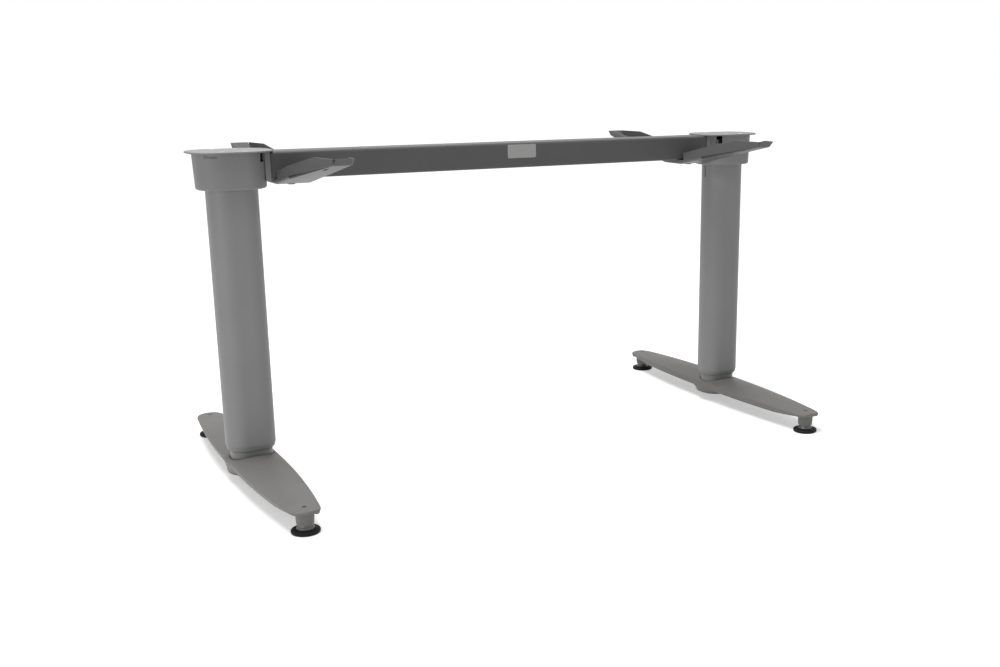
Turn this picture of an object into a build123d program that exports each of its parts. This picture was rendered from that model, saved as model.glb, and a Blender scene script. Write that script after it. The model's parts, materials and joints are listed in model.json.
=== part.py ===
"""Sit-stand desk frame: two telescopic columns on cast feet and a cross beam that carries two table arms.

Millimetres. X runs along the beam, Y from front to back, Z up from the floor. The origin is on the floor,
midway between the columns. Each leg is modelled about its own column axis with +X towards the other leg,
and the right leg is the left one turned half round. The columns stand at their lowest position.
"""
from build123d import *
from math import atan, cos, degrees, radians, sin
import os

os.makedirs("parts", exist_ok=True)

# Whole frame
leg_spacing = 1102.0
stroke = 350.0
hexagon = 6

# Clearances
fixed_gap = 0.15
slide_gap = 0.4
thread_gap = 0.3
running_gap = 0.05
screw_hole_gap = 0.5

# Column: an oval outer tube that slides over an oval inner tube
tube_width = 92.0
tube_depth = 74.0
tube_corner = 35.0
tube_wall = 2.5
nest_gap = 4.5
tube_top_gap = 20.0
neck_height = 8.0
collar_height = 12.0
collar_step = 5.5
collar_nose = 0.35
collar_sleeve = 50.0
bush_length = 60.0
bush_lip = 3.0
slit_width = 4.0
slit_length = 26.0
slit_drop = 3.0

# Foot casting
foot_length = 690.0
foot_width = 96.0
foot_flat = 30.0
foot_shoulder_width = 60.0
foot_shoulder_inset = 30.0
foot_tip_flat = 20.0
foot_tip_knee = 0.75
foot_crown = 53.0
crown_overrun = 1.2
foot_edge = 44.0
foot_underside = 30.0
foot_draft = 5.0
foot_edge_round = 2.5
foot_wall = 6.0
foot_rib = 6.0
hub_depth = 92.0
hub_corner = 43.0
hub_bottom = 19.0
hub_draft = 2.0
hub_round = 2.0
socket_floor = 31.0
socket_groove = 1.3
socket_groove_depth = 9.0
end_boss_diameter = 33.0
end_boss_bottom = 16.0
end_boss_draft = 1.5

# Levelling glides
glide_inset = 25.0
glide_stud_diameter = 8.0
glide_stud_sink = 0.6
glide_diameter = 50.0
glide_rim = 8.5
glide_rim_height = 9.0
glide_rim_edge = 6.0
glide_rim_round = 2.5
glide_sole = 3.0
glide_disc_height = 4.0
glide_neck_diameter = 24.0
glide_dome_swell = 0.95
glide_top_gap = 0.5

# Foot screws and the threaded base plug of the inner tube
base_plug_height = 20.0
foot_screw_x = 24.0
foot_screw_y = 14.0
foot_screw_diameter = 8.0
foot_screw_head = 13.0
foot_screw_head_height = 6.0
foot_screw_socket = 6.0
foot_screw_socket_depth = 3.6
foot_screw_length = 22.0
foot_screw_sink = 1.0

# Spindle drive
spindle_diameter = 16.0
spindle_engagement = 68.0
spindle_foot_gap = 36.0
spindle_foot_height = 10.0
spindle_journal = 28.0
push_tube_diameter = 28.0
push_tube_wall = 3.0
push_tube_seat = 10.0
nut_flange_height = 14.0
nut_spigot = 14.0
nut_top_gap = 10.0
bearing_diameter = 32.0
bearing_height = 12.0

# Motor housing
housing_width = 124.0
housing_depth = 92.0
housing_corner = 44.0
housing_height = 65.0
housing_flare = 2.5
housing_wall = 4.0
housing_floor = 12.0
housing_round = 4.0
seat_thickness = 9.6
seat_margin = 1.5
notch_width = 13.0
notch_height = 17.0
notch_cut = 20.0
front_notch_angle = -46.5
rear_notch_angle = 61.5
finger_slot_length = 20.0
finger_slot_height = 5.0
finger_slot_depth = 2.0
finger_slot_drop = 2.0
finger_slot_angle = 238.0
lid_boss_diameter = 10.0
lid_screw_x = 20.0
lid_screw_y = 38.0
lid_screw_diameter = 5.0
lid_screw_head = 10.0
lid_screw_socket = 4.0
lid_screw_socket_depth = 1.8
lid_screw_length = 20.0

# Top plate
plate_width = 150.0
plate_depth = 111.0
plate_corner = 46.0
plate_thickness = 3.0
plate_round = 1.0
table_hole_inset = 5.5
table_hole_spacing = 30.0
table_hole_diameter = 5.5

# Gear case and motor
gear_flange_width = 108.0
gear_flange_depth = 64.0
gear_flange_corner = 18.0
gear_flange_height = 5.0
gear_case_outer = 20.0
gear_case_inner = 35.0
gear_case_depth = 52.0
gear_case_height = 44.0
gear_case_round = 6.0
gear_screw_x = 48.0
gear_screw_y = 20.0
gear_screw_diameter = 5.0
gear_screw_head = 8.5
gear_screw_head_height = 5.0
gear_screw_length = 14.0
motor_diameter = 38.0
motor_length = 32.0
motor_axis_height = 25.0
motor_boss_diameter = 12.0
motor_boss_length = 3.0

# Cross beam and its ends
beam_depth = 59.0
beam_height = 50.0
beam_corner = 5.0
beam_wall = 2.5
end_plate_thickness = 6.0
beam_bolt_y = 13.0
beam_bolt_z = 12.0
beam_bolt_diameter = 6.0
beam_bolt_head = 10.0
beam_bolt_head_height = 6.0
beam_bolt_grip = 5.0

# Table arms
arm_spacing = 892.0
arm_width = 68.0
arm_reach = 270.0
arm_sheet = 3.0
arm_drop = 9.0
arm_keel = 30.0
arm_keel_round = 40.0
arm_lip_run = 12.0
arm_lip_height = 12.0
arm_lip_round = 8.0
arm_rim_rise = 17.0
arm_rim_from = 90.0
arm_rim_flat = 30.0
arm_corner_round = 6.0
arm_bend = 5.0
arm_slot_length = 24.0
arm_slot_width = 7.0
arm_slot_inset = 55.0

# The leaf at each end of an arm: a wall that is slit from the floor and turned inwards
leaf_from = 110.0
leaf_tip_inset = 2.0
leaf_turn = 28.0
leaf_tip_height = 5.0
leaf_rim_from = 50.0
leaf_rim_flat = 63.0
leaf_slit = 2.2

# Fixings of the arms
arm_bolt_y = 16.0
arm_bolt_diameter = 8.0
arm_bolt_head = 13.0
arm_bolt_head_height = 5.5
arm_bolt_end = 2.0
arm_nut_height = 6.5
arm_spacer_diameter = 16.0
arm_beam_gap = 16.0

# Places that follow from the sizes above
leg_x = leg_spacing / 2
arm_x = arm_spacing / 2
nest = tube_wall + nest_gap
collar_bottom = foot_crown + neck_height
tube_bottom = collar_bottom + collar_height
plug_top = socket_floor + base_plug_height
spindle_bottom = plug_top + spindle_foot_gap
push_tube_top = spindle_bottom + spindle_engagement + stroke + nut_spigot
push_tube_bore = push_tube_diameter - 2 * push_tube_wall
nut_top = push_tube_top + nut_flange_height
inner_top = nut_top + nut_top_gap
column_top = inner_top + tube_top_gap
spindle_top = column_top + spindle_journal
housing_bottom = column_top - housing_floor
plate_bottom = housing_bottom + housing_height
frame_height = plate_bottom + plate_thickness
foot_half = foot_length / 2
glide_y = foot_half - glide_inset
crown_rise = foot_crown - foot_edge
glide_stud_top = foot_crown - crown_rise * (glide_y / foot_half) ** 2 - glide_stud_sink
beam_bottom = plate_bottom - beam_height
beam_middle = plate_bottom - beam_height / 2
seat_reach = housing_width / 2 + housing_flare + fixed_gap
beam_half = leg_x - seat_reach
seat_inside = seat_reach - seat_thickness
arm_floor = beam_bottom - arm_drop
arm_lip_from = arm_reach - arm_lip_run
arm_rim_level = arm_reach - arm_rim_flat
arm_slot_y = arm_reach - arm_slot_inset
leaf_tip = arm_reach - leaf_tip_inset
leaf_rim_level = leaf_tip - leaf_rim_flat
arm_lip_foot = plate_bottom - arm_lip_height
arm_slope = (arm_lip_foot - arm_floor) / (arm_lip_from - arm_keel)
rim_at_beam = beam_bottom + arm_rim_rise
leaf_slope = (plate_bottom - rim_at_beam) / (leaf_rim_level - leaf_rim_from)
head_bottom = hub_bottom + foot_screw_sink
head_top = head_bottom + foot_screw_head_height


def four_corners(x, y):
    """The corners of a screw pattern that is centred on the column axis."""
    return [(side * x, end * y) for side in (-1, 1) for end in (-1, 1)]


foot_screw_places = four_corners(foot_screw_x, foot_screw_y)
lid_screw_places = four_corners(lid_screw_x, lid_screw_y)
gear_screw_places = four_corners(gear_screw_x, gear_screw_y)


def export_piece(piece, name, place=Location()):
    """Put a finished piece in its place, label it and write its STEP file."""
    placed = piece.moved(place)
    placed.label = name
    export_step(placed, f"parts/{name}.step")


def column_oval(inset):
    """The column's oval section, drawn in from the outer tube's surface by inset."""
    return RectangleRounded(tube_width - 2 * inset, tube_depth - 2 * inset, tube_corner - inset)


def housing_oval(flare):
    """The motor housing's plan at its bottom, grown on all sides by flare."""
    return RectangleRounded(housing_width + 2 * flare, housing_depth + 2 * flare, housing_corner + flare)


def foot_outline(inset):
    """The foot's leaf-shaped plan, drawn in by inset."""
    side_x = foot_width / 2 - inset
    tip_y = foot_half - inset
    shoulder = (foot_shoulder_width / 2 - inset, foot_half - foot_shoulder_inset)
    with BuildLine() as outline:
        side = Line((side_x, 0), (side_x, foot_flat))
        flank = TangentArc(side @ 1, shoulder, tangent=side % 1)
        knee = flank @ 1 + (flank % 1) * (tip_y - shoulder[1]) * foot_tip_knee
        Bezier(flank @ 1, knee, (foot_tip_flat, tip_y), (0, tip_y))
        mirror(about=Plane.YZ)
        mirror(about=Plane.XZ)
    return outline.line


def make_crown():
    """A shallow barrel whose top is the foot's crown: an arched section turned about a far axis below."""
    barrel_radius = (foot_half**2 + crown_rise**2) / (2 * crown_rise)
    barrel_axis = Axis((0, 0, foot_crown - barrel_radius), (1, 0, 0))
    barrel_turn = degrees(2 * crown_overrun * foot_half / barrel_radius)
    arch_half = crown_overrun * foot_width / 2
    arch_edge = foot_crown - crown_rise * (2 * arch_half / foot_width) ** 2
    with BuildPart() as crown:
        with BuildSketch(Plane.XZ):
            with BuildLine():
                top = ThreePointArc((-arch_half, arch_edge), (0, foot_crown), (arch_half, arch_edge))
                Polyline(top @ 1, (arch_half, 0), (-arch_half, 0), top @ 0)
            make_face()
        revolve(axis=barrel_axis, revolution_arc=barrel_turn)
    return crown.part.rotate(barrel_axis, -barrel_turn / 2)


def make_foot():
    """One casting: crowned leaf-shaped arms, a hub with the tube's socket and a boss over each glide."""
    crown = make_crown()
    draft_above = foot_draft * crown_rise / (foot_edge - foot_underside)
    hub_top = foot_edge - foot_edge_round
    pocket_inset = foot_draft + foot_wall
    boss_radius = end_boss_diameter / 2
    stud_hole = glide_stud_diameter / 2 + thread_gap
    with BuildPart() as foot:
        with BuildSketch(Plane.XY.offset(foot_underside)):
            make_face(foot_outline(foot_draft))
        with BuildSketch(Plane.XY.offset(foot_crown)):
            make_face(foot_outline(-draft_above))
        loft()
        add(crown, mode=Mode.INTERSECT)
        fillet(foot.faces().sort_by(Axis.Z)[-1].edges(), foot_edge_round)
        # Open pockets under the arms, between the hub and the end bosses
        with BuildSketch(Plane.XY.offset(foot_underside)):
            make_face(foot_outline(pocket_inset))
            RectangleRounded(foot_width, hub_depth, hub_corner, mode=Mode.SUBTRACT)
            Rectangle(foot_rib, foot_length, mode=Mode.SUBTRACT)
            with Locations((0, glide_y), (0, -glide_y)):
                Circle(boss_radius + foot_wall, mode=Mode.SUBTRACT)
        extrude(amount=foot_edge - foot_wall - foot_underside, mode=Mode.SUBTRACT)
        # Hub under the column
        with BuildSketch(Plane.XY.offset(hub_bottom)):
            RectangleRounded(foot_width - 2 * hub_draft, hub_depth - 2 * hub_draft, hub_corner - hub_draft)
        with BuildSketch(Plane.XY.offset(hub_top)):
            RectangleRounded(foot_width, hub_depth, hub_corner)
        loft()
        fillet(foot.faces().sort_by(Axis.Z)[0].edges(), hub_round)
        # Bosses over the glides
        with Locations((0, glide_y, end_boss_bottom), (0, -glide_y, end_boss_bottom)):
            Cone(
                boss_radius - end_boss_draft,
                boss_radius,
                foot_edge - foot_wall - end_boss_bottom,
                align=(Align.CENTER, Align.CENTER, Align.MIN),
            )
        with BuildSketch(Plane.XY):
            with Locations((0, glide_y), (0, -glide_y)):
                Circle(stud_hole)
        extrude(amount=foot_crown, mode=Mode.SUBTRACT)
        # Socket for the inner tube, with a shadow groove round its mouth
        with BuildSketch(Plane.XY.offset(socket_floor)):
            column_oval(nest - fixed_gap)
        extrude(amount=foot_crown, mode=Mode.SUBTRACT)
        with BuildSketch(Plane.XY.offset(foot_crown - socket_groove_depth)):
            column_oval(nest - socket_groove)
        extrude(amount=foot_crown, mode=Mode.SUBTRACT)
        # Screw holes through the hub's floor, counterbored from below
        with BuildSketch(Plane.XY.offset(hub_bottom)):
            with Locations(*foot_screw_places):
                Circle(foot_screw_head / 2 + screw_hole_gap)
        extrude(amount=head_top - hub_bottom, mode=Mode.SUBTRACT)
        with BuildSketch(Plane.XY.offset(hub_bottom)):
            with Locations(*foot_screw_places):
                Circle(foot_screw_diameter / 2 + screw_hole_gap)
        extrude(amount=socket_floor - hub_bottom, mode=Mode.SUBTRACT)
    return foot.part


def make_glide():
    """A levelling glide: a domed disc with its threaded stud in one piece."""
    disc_radius = glide_diameter / 2 - glide_rim - fixed_gap
    neck_radius = glide_neck_diameter / 2
    stud_radius = glide_stud_diameter / 2
    disc_top = glide_sole + glide_disc_height
    dome_top = end_boss_bottom - glide_top_gap
    with BuildPart() as glide:
        with BuildSketch(Plane.XZ):
            with BuildLine():
                foot_line = Polyline((0, glide_sole), (disc_radius, glide_sole), (disc_radius, disc_top))
                dome = Bezier(
                    foot_line @ 1,
                    (disc_radius * glide_dome_swell, (disc_top + dome_top) / 2),
                    (neck_radius, (disc_top + dome_top) / 2),
                    (neck_radius, dome_top),
                )
                Polyline(
                    dome @ 1,
                    (stud_radius, dome_top),
                    (stud_radius, glide_stud_top),
                    (0, glide_stud_top),
                    (0, glide_sole),
                )
            make_face()
        revolve(axis=Axis.Z)
    return glide.part


def make_glide_pad():
    """The rubber tyre of a glide: a sole with a rounded rim that holds the disc."""
    radius = glide_diameter / 2
    bore = radius - glide_rim
    with BuildPart() as pad:
        with BuildSketch(Plane.XZ):
            with BuildLine():
                Polyline(
                    (0, 0),
                    (radius, 0),
                    (radius, glide_rim_edge),
                    (bore, glide_rim_height),
                    (bore, glide_sole),
                    (0, glide_sole),
                    close=True,
                )
            face = make_face()
            fillet(face.vertices().group_by(Axis.X)[-1], glide_rim_round)
        revolve(axis=Axis.Z)
    return pad.part


def make_oval_tube(outer_inset, bottom, top):
    """A length of oval column tube."""
    with BuildPart() as tube:
        with BuildSketch(Plane.XY.offset(bottom)):
            column_oval(outer_inset)
            with Locations((0, 0)):
                RectangleRounded(
                    tube_width - 2 * (outer_inset + tube_wall),
                    tube_depth - 2 * (outer_inset + tube_wall),
                    tube_corner - outer_inset - tube_wall,
                    mode=Mode.SUBTRACT,
                )
        extrude(amount=top - bottom)
    return tube.part


def make_outer_tube():
    """The outer column tube, with a narrow slit below the housing on its inner side."""
    stock = make_oval_tube(0, tube_bottom, column_top)
    slit_middle = housing_bottom - slit_drop - slit_length / 2
    with BuildPart() as tube:
        add(stock)
        with BuildSketch(Plane.YZ.offset(tube_width / 2 - 2 * tube_wall)):
            with Locations((0, slit_middle)):
                SlotOverall(slit_length, slit_width, rotation=90)
        extrude(amount=3 * tube_wall, mode=Mode.SUBTRACT)
    return tube.part


def make_collar():
    """The plastic guide at the outer tube's lower end: a rounded nose and a sleeve inside the tube."""
    with BuildPart() as collar:
        with BuildSketch(Plane.XY.offset(collar_bottom)):
            column_oval(collar_step)
        with BuildSketch(Plane.XY.offset(collar_bottom + collar_height * collar_nose)):
            column_oval(collar_step * collar_nose)
        with BuildSketch(Plane.XY.offset(tube_bottom)):
            column_oval(0)
        loft(ruled=True)
        with BuildSketch(Plane.XY.offset(tube_bottom)):
            column_oval(tube_wall + fixed_gap)
        extrude(amount=collar_sleeve)
        with BuildSketch(Plane.XY.offset(collar_bottom)):
            column_oval(nest - slide_gap)
        extrude(amount=collar_height + collar_sleeve, mode=Mode.SUBTRACT)
    return collar.part


def make_slide_bush():
    """The plastic shoe round the inner tube's upper end, which runs inside the outer tube."""
    with BuildPart() as bush:
        with BuildSketch(Plane.XY.offset(inner_top - bush_length)):
            column_oval(tube_wall + slide_gap)
        extrude(amount=bush_length + bush_lip)
        with BuildSketch(Plane.XY.offset(inner_top - bush_length)):
            column_oval(nest - fixed_gap)
        extrude(amount=bush_length, mode=Mode.SUBTRACT)
        with BuildSketch(Plane.XY.offset(inner_top)):
            column_oval(nest + tube_wall)
        extrude(amount=bush_lip, mode=Mode.SUBTRACT)
    return bush.part


def make_base_plug():
    """The threaded plug in the inner tube's foot, with the push tube's seat."""
    with BuildPart() as plug:
        with BuildSketch(Plane.XY.offset(socket_floor)):
            column_oval(nest + tube_wall + fixed_gap)
            with Locations(*foot_screw_places):
                Circle(foot_screw_diameter / 2 + running_gap, mode=Mode.SUBTRACT)
        extrude(amount=base_plug_height)
        with BuildSketch(Plane.XY.offset(plug_top)):
            Circle(push_tube_diameter / 2 + running_gap)
        extrude(amount=-push_tube_seat, mode=Mode.SUBTRACT)
    return plug.part


def make_foot_screws():
    """The cap screws that draw the inner tube down into the foot."""
    with BuildPart() as screws:
        with BuildSketch(Plane.XY.offset(head_bottom)):
            with Locations(*foot_screw_places):
                Circle(foot_screw_head / 2)
        extrude(amount=foot_screw_head_height)
        with BuildSketch(Plane.XY.offset(head_bottom)):
            with Locations(*foot_screw_places):
                RegularPolygon(foot_screw_socket / 2, hexagon, major_radius=False)
        extrude(amount=foot_screw_socket_depth, mode=Mode.SUBTRACT)
        with BuildSketch(Plane.XY.offset(head_top)):
            with Locations(*foot_screw_places):
                Circle(foot_screw_diameter / 2)
        extrude(amount=foot_screw_length)
    return screws.part


def make_push_tube():
    """The round tube that stands on the base plug and carries the spindle nut."""
    with BuildPart() as tube:
        with BuildSketch(Plane.XY.offset(plug_top - push_tube_seat)):
            Circle(push_tube_diameter / 2)
            Circle(push_tube_bore / 2, mode=Mode.SUBTRACT)
        extrude(amount=push_tube_top - plug_top + push_tube_seat)
    return tube.part


def make_spindle_nut():
    """The flanged nut on top of the push tube."""
    with BuildPart() as nut:
        with BuildSketch(Plane.XY.offset(push_tube_top)):
            Circle(push_tube_diameter / 2)
        extrude(amount=nut_flange_height)
        with BuildSketch(Plane.XY.offset(push_tube_top)):
            Circle(push_tube_bore / 2 - running_gap)
        extrude(amount=-nut_spigot)
        with BuildSketch(Plane.XY.offset(push_tube_top - nut_spigot)):
            Circle(spindle_diameter / 2 + thread_gap)
        extrude(amount=nut_spigot + nut_flange_height, mode=Mode.SUBTRACT)
    return nut.part


def make_spindle():
    """The lifting spindle, with the guide disc on its lower end."""
    with BuildPart() as spindle:
        with BuildSketch(Plane.XY.offset(spindle_bottom)):
            Circle(spindle_diameter / 2)
        extrude(amount=spindle_top - spindle_bottom)
        with BuildSketch(Plane.XY.offset(spindle_bottom)):
            Circle(push_tube_bore / 2 - slide_gap)
        extrude(amount=spindle_foot_height)
    return spindle.part


def make_bearing():
    """The ball bearing that carries the spindle, as one sealed ring."""
    with BuildPart() as bearing:
        with BuildSketch(Plane.XY.offset(column_top)):
            Circle(bearing_diameter / 2)
            Circle(spindle_diameter / 2 + running_gap, mode=Mode.SUBTRACT)
        extrude(amount=bearing_height)
    return bearing.part


def make_gear_case():
    """The gear case on its flange, which bridges the column's open top."""
    with BuildPart() as case:
        with BuildSketch(Plane.XY.offset(column_top)):
            RectangleRounded(gear_flange_width, gear_flange_depth, gear_flange_corner)
            with Locations(*gear_screw_places):
                Circle(gear_screw_diameter / 2 + screw_hole_gap, mode=Mode.SUBTRACT)
        extrude(amount=gear_flange_height)
        with BuildSketch(Plane.XY.offset(column_top)):
            with Locations(((gear_case_inner - gear_case_outer) / 2, 0)):
                RectangleRounded(gear_case_inner + gear_case_outer, gear_case_depth, gear_case_round)
        extrude(amount=gear_case_height)
        with BuildSketch(Plane.XY.offset(column_top)):
            Circle(bearing_diameter / 2 + running_gap)
        extrude(amount=bearing_height, mode=Mode.SUBTRACT)
        with BuildSketch(Plane.XY.offset(column_top)):
            Circle(spindle_diameter / 2 + thread_gap)
        extrude(amount=spindle_journal + thread_gap, mode=Mode.SUBTRACT)
    return case.part


def make_motor():
    """The short motor on the gear case's outer side."""
    with BuildPart() as motor:
        with BuildSketch(Plane.YZ.offset(-gear_case_outer)):
            with Locations((0, column_top + motor_axis_height)):
                Circle(motor_diameter / 2)
        extrude(amount=-motor_length)
        with BuildSketch(Plane.YZ.offset(-gear_case_outer - motor_length)):
            with Locations((0, column_top + motor_axis_height)):
                Circle(motor_boss_diameter / 2)
        extrude(amount=-motor_boss_length)
    return motor.part


def make_gear_screws():
    """The cap screws that hold the gear case's flange to the housing floor."""
    flange_top = column_top + gear_flange_height
    with BuildPart() as screws:
        with BuildSketch(Plane.XY.offset(flange_top)):
            with Locations(*gear_screw_places):
                Circle(gear_screw_head / 2)
        extrude(amount=gear_screw_head_height)
        with BuildSketch(Plane.XY.offset(flange_top)):
            with Locations(*gear_screw_places):
                Circle(gear_screw_diameter / 2)
        extrude(amount=-gear_screw_length)
    return screws.part


def make_housing():
    """The motor housing: a drafted oval cup that clamps the column and has a flat seat for the beam."""
    corner_x = housing_width / 2 - housing_corner
    corner_y = housing_depth / 2 - housing_corner
    middle_wall = housing_corner - housing_wall / 2
    floor_flare = housing_flare * housing_floor / housing_height
    seat_bottom = beam_bottom - seat_margin
    slot_top = plate_bottom - finger_slot_drop
    slot_radius = housing_corner + housing_flare
    slot_sweep = degrees(finger_slot_length / slot_radius)
    beam_bolt_places = [(y * beam_bolt_y, beam_middle + z * beam_bolt_z) for y in (-1, 1) for z in (-1, 1)]
    with BuildPart() as housing:
        with BuildSketch(Plane.XY.offset(housing_bottom)):
            housing_oval(0)
        with BuildSketch(Plane.XY.offset(plate_bottom)):
            housing_oval(housing_flare)
        loft()
        fillet(housing.faces().sort_by(Axis.Z)[0].edges(), housing_round)
        with BuildSketch(Plane.XY.offset(column_top)):
            housing_oval(floor_flare - housing_wall)
        with BuildSketch(Plane.XY.offset(plate_bottom)):
            housing_oval(housing_flare - housing_wall)
        loft(mode=Mode.SUBTRACT)
        # Flat seat for the beam's end
        with BuildSketch(Plane.XY.offset(seat_bottom)):
            with Locations(((seat_inside + seat_reach) / 2, 0)):
                Rectangle(seat_thickness, beam_depth + 2 * seat_margin)
        extrude(amount=plate_bottom - seat_bottom)
        # Bosses for the lid's screws
        with BuildSketch(Plane.XY.offset(column_top)):
            with Locations(*lid_screw_places):
                Circle(lid_boss_diameter / 2)
        extrude(amount=plate_bottom - column_top)
        with BuildSketch(Plane.XY.offset(plate_bottom)):
            with Locations(*lid_screw_places):
                Circle(lid_screw_diameter / 2 + running_gap)
        extrude(amount=-lid_screw_length, mode=Mode.SUBTRACT)
        # Opening for the column
        with BuildSketch(Plane.XY.offset(housing_bottom)):
            column_oval(-fixed_gap)
        extrude(amount=housing_floor, mode=Mode.SUBTRACT)
        # Cable notches under the lid, on the two inner corners
        for angle in (front_notch_angle, rear_notch_angle):
            side = 1 if angle > 0 else -1
            notch_x = corner_x + middle_wall * cos(radians(angle))
            notch_y = side * corner_y + middle_wall * sin(radians(angle))
            with BuildSketch(Plane.XY.offset(plate_bottom)):
                with Locations(Location((notch_x, notch_y, 0), (0, 0, angle))):
                    Rectangle(notch_cut, notch_width)
            extrude(amount=-notch_height, mode=Mode.SUBTRACT)
        # Shallow finger slot under the lid, on the outer front corner
        with BuildSketch(Plane.XY.offset(slot_top)):
            slot_start = finger_slot_angle - slot_sweep / 2
            arc = CenterArc((-corner_x, -corner_y), slot_radius, slot_start, slot_sweep)
            SlotArc(arc, 2 * finger_slot_depth)
        extrude(amount=-finger_slot_height, mode=Mode.SUBTRACT)
        # Screw holes in the floor and bolt holes through the seat
        with BuildSketch(Plane.XY.offset(column_top)):
            with Locations(*gear_screw_places):
                Circle(gear_screw_diameter / 2 + running_gap)
        extrude(amount=gear_flange_height - gear_screw_length, mode=Mode.SUBTRACT)
        with BuildSketch(Plane.YZ.offset(seat_inside)):
            with Locations(*beam_bolt_places):
                Circle(beam_bolt_diameter / 2 + screw_hole_gap)
        extrude(amount=seat_thickness, mode=Mode.SUBTRACT)
    return housing.part


def make_top_plate():
    """The housing's lid, whose overhanging edge takes screws up into the table top."""
    table_hole_x = plate_width / 2 - table_hole_inset
    with BuildPart() as plate:
        with BuildSketch(Plane.XY.offset(plate_bottom)):
            RectangleRounded(plate_width, plate_depth, plate_corner)
        extrude(amount=plate_thickness)
        fillet(plate.faces().sort_by(Axis.Z)[-1].edges(), plate_round)
        with Locations(*[(x, y, frame_height) for x, y in lid_screw_places]):
            CounterSinkHole(lid_screw_diameter / 2 + running_gap, lid_screw_head / 2 + running_gap)
        with BuildSketch(Plane.XY.offset(plate_bottom)):
            with Locations((-table_hole_x, table_hole_spacing / 2), (-table_hole_x, -table_hole_spacing / 2)):
                Circle(table_hole_diameter / 2)
        extrude(amount=plate_thickness, mode=Mode.SUBTRACT)
    return plate.part


def make_lid_screws():
    """The countersunk screws that close the housing."""
    head_height = (lid_screw_head - lid_screw_diameter) / 2
    with BuildPart() as screws:
        with Locations(*[(x, y, frame_height - head_height) for x, y in lid_screw_places]):
            Cone(
                lid_screw_diameter / 2,
                lid_screw_head / 2,
                head_height,
                align=(Align.CENTER, Align.CENTER, Align.MIN),
            )
        with BuildSketch(Plane.XY.offset(frame_height - head_height)):
            with Locations(*lid_screw_places):
                Circle(lid_screw_diameter / 2)
        extrude(amount=head_height - lid_screw_length)
        with BuildSketch(Plane.XY.offset(frame_height)):
            with Locations(*lid_screw_places):
                RegularPolygon(lid_screw_socket / 2, hexagon, major_radius=False)
        extrude(amount=-lid_screw_socket_depth, mode=Mode.SUBTRACT)
    return screws.part


def make_beam():
    """The cross beam: a rolled rectangular tube with the arms' bolt holes in its underside."""
    with BuildPart() as beam:
        with BuildSketch(Plane.YZ):
            with Locations((0, beam_middle)):
                RectangleRounded(beam_depth, beam_height, beam_corner)
                RectangleRounded(
                    beam_depth - 2 * beam_wall,
                    beam_height - 2 * beam_wall,
                    beam_corner - beam_wall,
                    mode=Mode.SUBTRACT,
                )
        extrude(amount=beam_half, both=True)
        with BuildSketch(Plane.XY.offset(beam_bottom)):
            with Locations(*four_corners(arm_x, arm_bolt_y)):
                Circle(arm_bolt_diameter / 2 + screw_hole_gap)
        extrude(amount=beam_wall, mode=Mode.SUBTRACT)
    return beam.part


def make_beam_end_plate():
    """The threaded plate welded into the beam's end."""
    bolt_places = [(y * beam_bolt_y, beam_middle + z * beam_bolt_z) for y in (-1, 1) for z in (-1, 1)]
    inset = beam_wall + fixed_gap
    with BuildPart() as plate:
        with BuildSketch(Plane.YZ.offset(seat_reach)):
            with Locations((0, beam_middle)):
                RectangleRounded(beam_depth - 2 * inset, beam_height - 2 * inset, beam_corner - inset)
            with Locations(*bolt_places):
                Circle(beam_bolt_diameter / 2 + running_gap, mode=Mode.SUBTRACT)
        extrude(amount=end_plate_thickness)
    return plate.part


def make_beam_bolts():
    """The bolts that pull the beam's end against the housing, with their heads inside the housing."""
    bolt_places = [(y * beam_bolt_y, beam_middle + z * beam_bolt_z) for y in (-1, 1) for z in (-1, 1)]
    with BuildPart() as bolts:
        with BuildSketch(Plane.YZ.offset(seat_inside)):
            with Locations(*bolt_places):
                Circle(beam_bolt_head / 2)
        extrude(amount=-beam_bolt_head_height)
        with BuildSketch(Plane.YZ.offset(seat_inside)):
            with Locations(*bolt_places):
                Circle(beam_bolt_diameter / 2)
        extrude(amount=seat_thickness + beam_bolt_grip)
    return bolts.part


def sheet_corner(y, z, before, after, inset):
    """A corner of the arm's section between runs that climb at the two angles, drawn in by inset."""
    spread = 1 + cos(after - before)
    return y - inset * (sin(before) + sin(after)) / spread, z + inset * (cos(before) + cos(after)) / spread


def arm_trough(inset):
    """The arm's trough with its end lips, taller than the arm, drawn in from its outer faces by inset."""
    climb = atan(arm_slope)
    lip_climb = atan(arm_lip_height / arm_lip_run)
    keel = sheet_corner(arm_keel, arm_floor, 0, climb, inset)
    lip = sheet_corner(arm_lip_from, arm_lip_foot, climb, lip_climb, inset)
    far_z = lip[1] + arm_reach
    far = (lip[0] + arm_reach * arm_lip_run / arm_lip_height, far_z)
    half_section = [keel, lip, far]
    other_half = [(-y, z) for y, z in reversed(half_section)]
    with BuildPart() as trough:
        with BuildSketch(Plane.YZ):
            Polygon(*half_section, *other_half, align=None)
        extrude(amount=arm_width / 2 - inset, both=True)
        fillet(trough.edges().filter_by(Axis.X).group_by(Axis.Z)[0], arm_keel_round - inset)
        lips = trough.edges().filter_by(Axis.X).filter_by(lambda e: abs(e.center().Z - lip[1]) < fixed_gap)
        fillet(lips, arm_lip_round - inset)
        sides = trough.faces().filter_by(Axis.X).edges()
        fillet(sides.filter_by(lambda e: e.center().Z < far_z - fixed_gap), arm_bend - inset)
    return trough.part


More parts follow.
